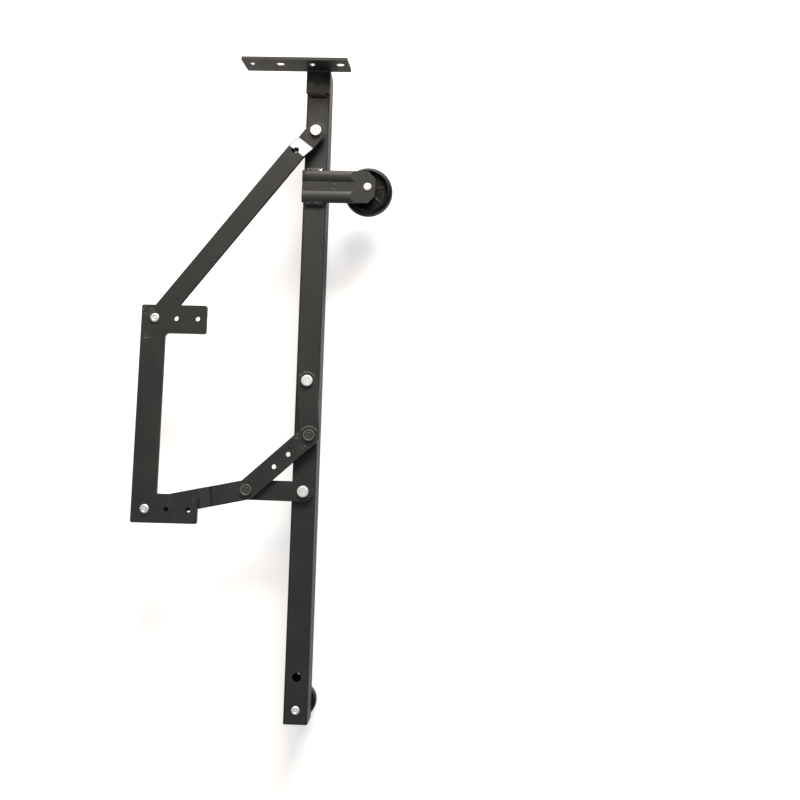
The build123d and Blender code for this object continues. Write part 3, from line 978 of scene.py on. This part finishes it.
@dataclass
class Fastener:
    """A turned pin or rivet on an upright axis, from steps of (radius, low, high) in millimetres."""

    name: str
    body: Body
    centre: Point
    steps: tuple[Triple, ...]
    head: HeadShape = HeadShape.FLAT
    finish: Finish = Finish.ZINC
    slot: Slot = Slot.ZINC
    ease: float = 0.5
    rim_finish: Finish | None = None

    def top(self) -> list[Triple]:
        """List the corners of the top face.

        Returns:
            The corners (radius, height, corner radius) in millimetres, from the rim to the axis.
        """
        radius, _, high = self.steps[-1]
        if self.head is HeadShape.RINGED:
            return [
                (radius, high - 0.5, 0.4),
                (radius - 0.5, high, 0.35),
                (radius - 1.2, high, 0.25),
                (radius - 1.5, high - 0.3, 0.2),
                (radius * 0.52, high - 0.34, 0.15),
                (radius * 0.46, high - 0.2, 0.12),
                (radius * 0.36, high - 0.2, 0.12),
                (radius * 0.3, high - 0.34, 0.15),
                (0.0, high - 0.36, 0.0),
            ]
        if self.head is HeadShape.FLAT:
            return [
                (radius, high - 0.65, 0.3),
                (radius - 0.65, high, 0.3),
                (radius * 0.5, high - 0.03, 0.2),
                (radius * 0.44, high - 0.1, 0.2),
                (0.0, high - 0.1, 0.0),
            ]
        return [
            (radius, high - 0.75, 0.5),
            (radius * 0.78, high - 0.1, 0.5),
            (radius * 0.52, high, 0.25),
            (radius * 0.44, high - 0.35, 0.2),
            (radius * 0.26, high - 0.4, 0.15),
            (radius * 0.2, high - 0.22, 0.15),
            (0.0, high - 0.22, 0.0),
        ]

    def wear_rim(self, piece: bpy.types.Object) -> None:
        """Give the raised rim of the head its own, worn finish.

        Args:
            piece: The turned piece.
        """
        radius, low, _ = self.steps[-1]
        rim_rise, rim_width, margin = 1.5, 1.1, 0.1
        piece.data.materials.append(self.rim_finish.material())
        for face in piece.data.polygons:
            raised = face.center.z > (low + rim_rise) * MM
            if raised and (radius - rim_width) * MM < face.center.xy.length < (radius + margin) * MM:
                face.material_index = RIM_SLOT

    def build(self) -> None:
        """Turn the piece and put it in its holes."""
        first, last = self.steps[0], self.steps[-1]
        corners = [(0.0, first[1], 0.0), (first[0], first[1], min(self.ease, first[0] * 0.2))]
        for (radius, _, high), (above, _, _) in zip(self.steps, self.steps[1:]):
            corners += [(radius, high, 0.3), (above, high, 0.25)]
        corners += self.top()
        mesh = lathe(rounded(corners), FINE_SIDES if last[0] > RIVET_END else PLAIN_SIDES)
        piece = piece_from(mesh, f"{self.name}_turned", [self.finish], 40.0)
        if self.rim_finish is not None:
            self.wear_rim(piece)
        piece.location = (self.centre[0] * MM, self.centre[1] * MM, 0.0)
        mount(piece, self.body, self.slot, self.name)
        log.info("turned %s", self.name)


@dataclass(frozen=True)
class WeldBead:
    """A bead in the corner between a plate's edge and the rail's face, laid in overlapping ripples."""

    edge_y: float
    side: int
    length: float
    foot_z: float = RAIL_FACE
    height: float = 2.7
    reach: float = 3.7
    pitch: float = 1.7
    lag: float = 0.9
    ripple: float = 0.13
    wander: float = 0.14
    lumps: float = 0.1
    belly: float = 0.12
    sunk: float = 0.12
    seed: float = 0.0

    def spot(self, x: float, angle: float, fade: float) -> Vector:
        """Find a point on the bead's skin.

        Args:
            x: Place along the bead, in millimetres.
            angle: Turn round the bead, from the rail's face up to the plate's edge.
            fade: Size of the bead at this place, 1 away from its ends.

        Returns:
            The point in millimetres.
        """
        belly = math.sin(2 * angle)
        ripple = abs(math.sin(math.pi * (x + self.lag * belly) / self.pitch)) ** 0.6
        wander = noise.noise(Vector((x * 0.3, angle, self.seed))) * self.wander
        lumps = noise.noise(Vector((x * 0.9, angle * 1.5, self.seed + 7))) * self.lumps
        size = fade * (0.9 + self.ripple * ripple + wander + lumps) * (1 + self.belly * belly)
        out = self.reach * size * math.cos(angle) - 0.25 * math.sin(angle)
        up = self.height * size * math.sin(angle) - self.sunk * math.cos(angle)
        return Vector((x, self.edge_y + self.side * out, self.foot_z + up))

    def add_to(self, mesh: bmesh.types.BMesh) -> None:
        """Add this bead to a mesh.

        Args:
            mesh: The mesh to add to.
        """
        along_steps, round_steps = int(self.length * 4), 12
        rows: list[list[bmesh.types.BMVert]] = []
        for i in range(along_steps + 1):
            t = i / along_steps
            x = (t - 0.5) * self.length
            fade = min(1.0, math.sqrt(max(0.0, 1 - (2 * t - 1) ** 2)) * 2.1) if 0 < t < 1 else 0.05
            angles = [j / round_steps * math.pi / 2 for j in range(round_steps + 1)]
            row = [mesh.verts.new(self.spot(x, angle, fade) * MM) for angle in angles]
            root = Vector((x, self.edge_y - self.side * 0.3, self.foot_z - self.sunk))
            row.append(mesh.verts.new(root * MM))
            rows.append(row)
        width = len(rows[0])
        for first, second in zip(rows, rows[1:]):
            for j in range(width):
                k = (j + 1) % width
                mesh.faces.new((first[j], first[k], second[k], second[j]))
        mesh.faces.new(rows[0])
        mesh.faces.new(list(reversed(rows[-1])))


@dataclass
class Welds:
    """The beads that hold the top bracket and the roller arm to the rail."""

    bracket: tuple[WeldBead, ...] = (WeldBead(edge_y=-27.5, side=-1, length=18.5, seed=3.1),)
    arm: tuple[WeldBead, ...] = (
        WeldBead(edge_y=-110.75, side=1, length=20.5, seed=11.4),
        WeldBead(edge_y=-144.25, side=-1, length=20.5, height=3.0, reach=4.2, seed=23.9),
    )
    drop: Triple = (5.8, -110.9, -11.15)
    drop_radii: Triple = (2.1, 1.25, 1.0)

    def build(self) -> None:
        """Lay the beads, and the drop of bare spatter on the arm's edge."""
        for name, beads in (("top_bracket_weld", self.bracket), ("roller_arm_weld", self.arm)):
            mesh = bmesh.new()
            for bead in beads:
                bead.add_to(mesh)
            piece = piece_from(mesh, f"{name}_bead", [Finish.WELD_PAINT], 60.0)
            mount(piece, Body.RAIL, Slot.PAINT, name)
            log.info("laid %s", name)
        self.spatter()

    def spatter(self) -> None:
        """Leave a drop of bare weld metal on the upper edge of the roller arm."""
        mesh = bmesh.new()
        bmesh.ops.create_icosphere(mesh, subdivisions=3, radius=1.0)
        for vert in mesh.verts:
            lump = 1 + 0.22 * noise.noise(vert.co * 1.4)
            vert.co = vert.co * Vector(self.drop_radii) * lump * MM
        piece = piece_from(mesh, "weld_spatter", [Finish.BARE_STEEL], 180.0)
        piece.location = Vector(self.drop) * MM
        mount(piece, Body.RAIL, Slot.ZINC)
        log.info("left the weld spatter")


@dataclass
class RibbedRoller:
    """A moulded roller: a rounded tread with a parting line, a hub, ribs, and a dish below or on both sides."""

    name: str
    body: Body
    centre: Point
    face: float
    back: float
    radius: float
    bore: float
    hub: float
    dish: float
    dish_floor: float
    depth: float
    shoulder: float
    ribs: int = 0
    rib_width: float = 2.0
    rib_sink: float = 1.5
    rib_turn: float = 0.0
    both_sides: bool = True
    parting: float = 0.15

    def outline(self) -> list[Triple]:
        """List the corners of the roller's section.

        Returns:
            The corners (radius, height, corner radius) in millimetres, from the bore's lower end and round.
        """
        middle = (self.face + self.back) / 2
        tread = self.radius - self.parting
        lower = [
            (self.bore, self.back, 0.2),
            (self.hub, self.back, 0.5),
            (self.hub, self.back + self.depth, 0.8),
            (self.dish_floor, self.back + self.depth, 1.0),
            (self.dish, self.back, 0.6),
            (self.radius - self.shoulder, self.back, 0.4),
            (tread, self.back + self.shoulder, self.shoulder * 0.9),
            (tread, middle - 0.3, 0.0),
            (self.radius, middle, 0.0),
            (tread, middle + 0.3, 0.0),
            (tread, self.face - self.shoulder, self.shoulder * 0.9),
            (self.radius - self.shoulder, self.face, 0.4),
        ]
        if not self.both_sides:
            return lower + [(self.bore, self.face, 0.2)]
        return lower + [
            (self.dish, self.face, 1.3),
            (self.dish_floor, self.face - self.depth, 1.0),
            (self.hub, self.face - self.depth, 0.8),
            (self.hub, self.face, 0.5),
            (self.bore, self.face, 0.2),
        ]

    def add_ribs(self, mesh: bmesh.types.BMesh) -> None:
        """Add the ribs between hub and rim on the face side.

        Args:
            mesh: The roller's mesh.
        """
        sunk, overlap, wider_foot, narrower_top = 0.3, 0.4, 0.25, 0.2
        low = self.face - self.depth - sunk
        high = self.face - self.rib_sink
        inner, outer = self.hub - overlap, self.dish - (self.dish - self.dish_floor) * 0.25
        layers = ((low, self.rib_width / 2 + wider_foot), (high, self.rib_width / 2 - narrower_top))
        for k in range(self.ribs):
            turn = Matrix.Rotation(math.radians(self.rib_turn) + 2 * math.pi * k / self.ribs, 3, "Z")
            box: list[bmesh.types.BMVert] = []
            for z, half in layers:
                for x, y in ((inner, -half), (outer, -half), (outer, half), (inner, half)):
                    box.append(mesh.verts.new(turn @ (Vector((x, y, z)) * MM)))
            faces = [mesh.faces.new(box[:4][::-1]), mesh.faces.new(box[4:])]
            for a in range(4):
                b = (a + 1) % 4
                faces.append(mesh.faces.new((box[a], box[b], box[4 + b], box[4 + a])))
            upper = list(faces[1].edges)
            bmesh.ops.bevel(mesh, geom=upper, offset=0.35 * MM, segments=2, affect="EDGES", profile=0.5)

    def build(self) -> None:
        """Mould the roller and put it on its axle."""
        mesh = lathe(rounded(self.outline(), 5), 120)
        if self.ribs:
            self.add_ribs(mesh)
        piece = piece_from(mesh, f"{self.name}_moulding", [Finish.PLASTIC], 35.0)
        piece.location = (self.centre[0] * MM, self.centre[1] * MM, 0.0)
        mount(piece, self.body, Slot.PLASTIC, self.name)
        log.info("moulded %s", self.name)


@dataclass(frozen=True)
class Softbox:
    """A rectangular lamp with a diffuser, hidden from the lens."""

    name: str
    aim: Triple
    direction: Triple
    distance: float
    width: float
    height: float
    radiance: float
    colour: Colour = (1.0, 1.0, 1.0)

    def build(self) -> None:
        """Hang the lamp."""
        data = bpy.data.lights.new(self.name, "AREA")
        data.shape = "RECTANGLE"
        data.size, data.size_y = self.width, self.height
        data.color = self.colour
        data.energy = self.radiance * math.pi * self.width * self.height
        lamp = add_object(self.name, data)
        away = Vector(self.direction).normalized()
        lamp.location = Vector(self.aim) + away * self.distance
        lamp.rotation_mode = "QUATERNION"
        lamp.rotation_quaternion = away.to_track_quat("Z", "Y")
        lamp.visible_camera = False
        log.info("hung %s", self.name)


@dataclass
class Studio:
    """A pale floor under the hinge, a soft sky, two lamps past its top end and dark cards at its sides.

    The floor ends at the cards, so that their shadows don't lie on it.
    """

    floor: StudioFloor = StudioFloor()
    floor_z: float = -63.4 * MM
    floor_length: float = 6.0
    sky: float = 0.32
    key: Softbox = Softbox(
        "top_end_softbox",
        aim=(-0.02, -0.092, 0.0),
        direction=(0.217, 0.853, 0.475),
        distance=3.4,
        width=1.7,
        height=0.82,
        radiance=40.0,
        colour=(1.0, 0.97, 0.93),
    )
    fill: Softbox = Softbox(
        "warm_overhead_panel",
        aim=(0.0, -0.35, 0.0),
        direction=(-0.13, 0.76, 0.64),
        distance=2.6,
        width=2.2,
        height=1.1,
        radiance=5.0,
        colour=(1.0, 0.74, 0.59),
    )
    card_x: float = 0.72
    card_height: float = 0.5
    card_ends: Point = (-1.5, 0.75)
    card_colour: Colour = (0.012, 0.012, 0.012)
    card_mottle: Colour = (0.02, 0.02, 0.02)

    def lay_floor(self) -> None:
        """Lay the floor plane."""
        half_x, half_y = self.card_x, self.floor_length / 2
        corners = [(x * half_x, y * half_y, self.floor_z) for x, y in ((-1, -1), (1, -1), (1, 1), (-1, 1))]
        floor = panel("studio_floor", corners, self.floor.material())

    def stand_cards(self) -> None:
        """Stand a dark card at each side, so that the rail's rounded edges stay dark."""
        sheet = NodeSheet("dark_card")
        colour = sheet.blend(sheet.grain(0.1), self.card_colour, self.card_mottle)
        sheet.principled(Base_Color=colour, Roughness=0.9)
        low, high = self.floor_z, self.floor_z + self.card_height
        near, far = self.card_ends
        for name, x in (("dark_card_left", -self.card_x), ("dark_card_right", self.card_x)):
            corners = [(x, near, low), (x, far, low), (x, far, high), (x, near, high)]
            card = panel(name, corners, sheet.material)
            card.visible_camera = False

    def hang_sky(self) -> None:
        """Light the scene evenly from all round, and let the lens see white there."""
        world = bpy.data.worlds.new("soft_sky")
        bpy.context.scene.world = world
        world.use_nodes = True
        tree = world.node_tree
        tree.nodes.clear()
        path = tree.nodes.new("ShaderNodeLightPath")
        strength = tree.nodes.new("ShaderNodeMapRange")
        strength.inputs["To Min"].default_value = self.sky
        strength.inputs["To Max"].default_value = 1.0
        tree.links.new(path.outputs["Is Camera Ray"], strength.inputs["Value"])
        sky = tree.nodes.new("ShaderNodeBackground")
        sky.inputs["Color"].default_value = (1.0, 1.0, 1.0, 1.0)
        tree.links.new(strength.outputs["Result"], sky.inputs["Strength"])
        output = tree.nodes.new("ShaderNodeOutputWorld")
        tree.links.new(sky.outputs[0], output.inputs["Surface"])

    def build(self) -> None:
        """Set up the studio."""
        bpy.context.scene.view_settings.view_transform = "Standard"
        self.lay_floor()
        self.stand_cards()
        self.hang_sky()
        self.key.build()
        self.fill.build()
        log.info("set up the studio")


@dataclass
class PhotoCamera:
    """The photograph's camera, nearly straight above the hinge."""

    place: Triple = (113.1 * MM, -419.3 * MM, 786.0 * MM)
    target: Triple = (94.06 * MM, -346.66 * MM, -14.0 * MM)
    roll: float = 1.548
    lens: float = 35.87
    film: float = 36.0
    clip: Point = (0.01, 60.0)

    def build(self) -> None:
        """Place the camera and make it the scene's."""
        data = bpy.data.cameras.new("photo_camera")
        data.lens, data.sensor_width = self.lens, self.film
        data.clip_start, data.clip_end = self.clip
        camera = add_object("photo_camera", data)
        camera.location = self.place
        back = (Vector(self.place) - Vector(self.target)).normalized()
        right = Vector((0.0, 1.0, 0.0)).cross(back).normalized()
        upright = Matrix((right, back.cross(right), back)).transposed()
        camera.rotation_mode = "QUATERNION"
        rolled = upright @ Matrix.Rotation(math.radians(self.roll), 3, "Z")
        camera.rotation_quaternion = rolled.to_quaternion()
        bpy.context.scene.camera = camera


def rail_pin(name: str, centre: Point, under: float, head: HeadShape, finish: Finish) -> Fastener:
    """Describe a pin through the rail, with a round head behind it and one on the link.

    Args:
        name: The solid that it stands for.
        centre: The pin's place, in millimetres.
        under: Height of the front head's lower face, in millimetres.
        head: The front head's shape.
        finish: The pin's finish.

    Returns:
        The pin.
    """
    steps = (
        (ROUND_HEAD, RAIL_BACK - HEAD_HEIGHT, RAIL_BACK),
        (PIN_SHANK, RAIL_BACK, under),
        (ROUND_HEAD, under, under + HEAD_HEIGHT),
    )
    return Fastener(name, Body.RAIL, centre, steps, head, finish)


def axle(name: str, centre: Point, foot: float, face: float, finish: Finish) -> Fastener:
    """Describe a roller's axle, with a wide head under the roller and a closed end on top.

    Args:
        name: The solid that it stands for.
        centre: The axle's place, in millimetres.
        foot: Height of the head's lower face, in millimetres.
        face: Height of the face that the closed end lies on, in millimetres.
        finish: The axle's finish.

    Returns:
        The axle.
    """
    steps = (
        (AXLE_HEAD, foot, foot + HEAD_HEIGHT),
        (PIN_SHANK, foot + HEAD_HEIGHT, face),
        (AXLE_END, face, face + AXLE_END_HEIGHT),
    )
    return Fastener(name, Body.RAIL, centre, steps, HeadShape.CLOSED, finish)


def lever_rivet(name: str, centre: Point, *shank: Triple) -> Fastener:
    """Describe a painted rivet with a worn rim, whose head lies on the lever.

    Args:
        name: The solid that it stands for.
        centre: The rivet's place, in millimetres.
        shank: The steps below the head.

    Returns:
        The rivet.
    """
    steps = (*shank, (ROUND_HEAD, LEVER_FACE, LEVER_FACE + HEAD_HEIGHT))
    return Fastener(
        name, Body.LEVER, centre, steps, HeadShape.RINGED, Finish.RIVET_PAINT, Slot.PAINT,
        rim_finish=Finish.RIVET_RIM,
    )


def seat_rivet(name: str, body: Body, centre: Point, head: float, foot: float, face: float) -> Fastener:
    """Describe a zinc rivet that is closed over on the seat plate.

    Args:
        name: The solid that it stands for.
        body: The body that it moves with.
        centre: The rivet's place, in millimetres.
        head: Radius of the lower head, in millimetres.
        foot: Height of the lower head's lower face, in millimetres.
        face: Height of the closed end's lower face, in millimetres.

    Returns:
        The rivet.
    """
    steps = (
        (head, foot, foot + HEAD_HEIGHT),
        (RIVET_SHANK, foot + HEAD_HEIGHT, face),
        (RIVET_END, face, face + RIVET_END_HEIGHT),
    )
    return Fastener(name, body, centre, steps, HeadShape.CLOSED, Finish.STAINED_ZINC)


def fasteners() -> list[Fastener]:
    """List the pins, rivets and axles of the hinge.

    Returns:
        The rail's pins from its top end down, the axles, and then the rivets of the moving links.
    """
    lower_end, lower_shank, recess = -13.25, (RIVET_SHANK, -12.0, LEVER_FACE), 4.2
    return [
        rail_pin("upper_link_pin", UPPER_PIVOT, -5.25, HeadShape.RINGED, Finish.BRIGHT_ZINC),
        rail_pin("guide_link_pin", GUIDE_PIVOT, -9.5, HeadShape.FLAT, Finish.ZINC),
        rail_pin("short_link_pin", SHORT_PIVOT, -9.5, HeadShape.FLAT, Finish.ZINC),
        axle("roller_axle", ROLLER_CENTRE, -39.25, ARM_FACE, Finish.BRIGHT_ZINC),
        axle("foot_axle", FOOT_CENTRE, -63.0, RAIL_FACE, Finish.ZINC),
        lever_rivet("lever_top_rivet", LEVER_TOP, (recess, lower_end, -12.0), lower_shank),
        lever_rivet("lever_middle_rivet", LEVER_MIDDLE, (RIVET_SHANK, lower_end, LEVER_FACE)),
        seat_rivet("seat_top_rivet", Body.UPPER_LINK, SEAT_TOP, ROUND_HEAD, -5.5, 5.0),
        seat_rivet("seat_bottom_rivet", Body.SEAT_PLATE, SEAT_BOTTOM, AXLE_HEAD, -5.75, SEAT_FACE),
    ]


def rollers() -> list[RibbedRoller]:
    """List the two rollers.

    Returns:
        The large roller and the foot roller.
    """
    return [
        RibbedRoller(
            "roller_wheel", Body.ROLLER, ROLLER_CENTRE, face=-19.5, back=-35.5, radius=25.5, bore=4.05,
            hub=8.5, dish=20.8, dish_floor=18.0, depth=5.5, shoulder=4.1,
            ribs=6, rib_width=3.0, rib_sink=5.2, rib_turn=15.0,
        ),
        RibbedRoller(
            "foot_roller", Body.FOOT_ROLLER, FOOT_CENTRE, face=-45.25, back=-59.25, radius=16.0, bore=4.05,
            hub=6.5, dish=12.5, dish_floor=12.3, depth=2.5, shoulder=1.5, both_sides=False,
        ),
    ]


def main() -> None:
    """Build the hinge's finished pieces in order, then the studio and the camera."""
    logging.basicConfig(level=logging.INFO, format="%(message)s")
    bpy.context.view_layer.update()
    PaintedSolids(("rail_tube",), ease=0.35 * MM, finish=Finish.RAIL_PAINT).dress()
    PaintedSolids(("top_bracket",), finish=Finish.BRACKET_PAINT).dress()
    PaintedSolids(("roller_arm",), ease=0.5 * MM, finish=Finish.ARM_PAINT).dress()
    dent = PressMark(
        "upper_link_dent", Body.UPPER_LINK, centre=(-19.4, -93.3, -0.4), radii=(4.9, 4.0, 6.0), depth=2.0,
        turn=38.0, uneven=0.5,
    )
    PaintedSolids(
        ("upper_link",), corner=88.0, finish=Finish.LINK_PAINT, edge=Finish.PAINT, marks=(dent,),
    ).dress()
    PaintedSolids(("lever",), finish=Finish.LEVER_PAINT, edge=Finish.WORN_EDGE).dress()
    PaintedSolids(("seat_plate",), finish=Finish.SEAT_PAINT).dress()
    PaintedSolids(("guide_link",), finish=Finish.GUIDE_PAINT, edge=Finish.WORN_EDGE).dress()
    PaintedSolids(("short_link",)).dress()
    washers = tuple(sorted(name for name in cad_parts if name.endswith("_washer")))
    SolidFinish(washers, Finish.NYLON, Slot.NYLON).dress()
    SolidFinish(("upper_link_spacer", "roller_spacer"), Finish.ZINC, Slot.ZINC).dress()
    for fastener in fasteners():
        fastener.build()
    for roller in rollers():
        roller.build()
    Welds().build()
    Studio().build()
    PhotoCamera().build()


if __name__ == "__main__":
    main()
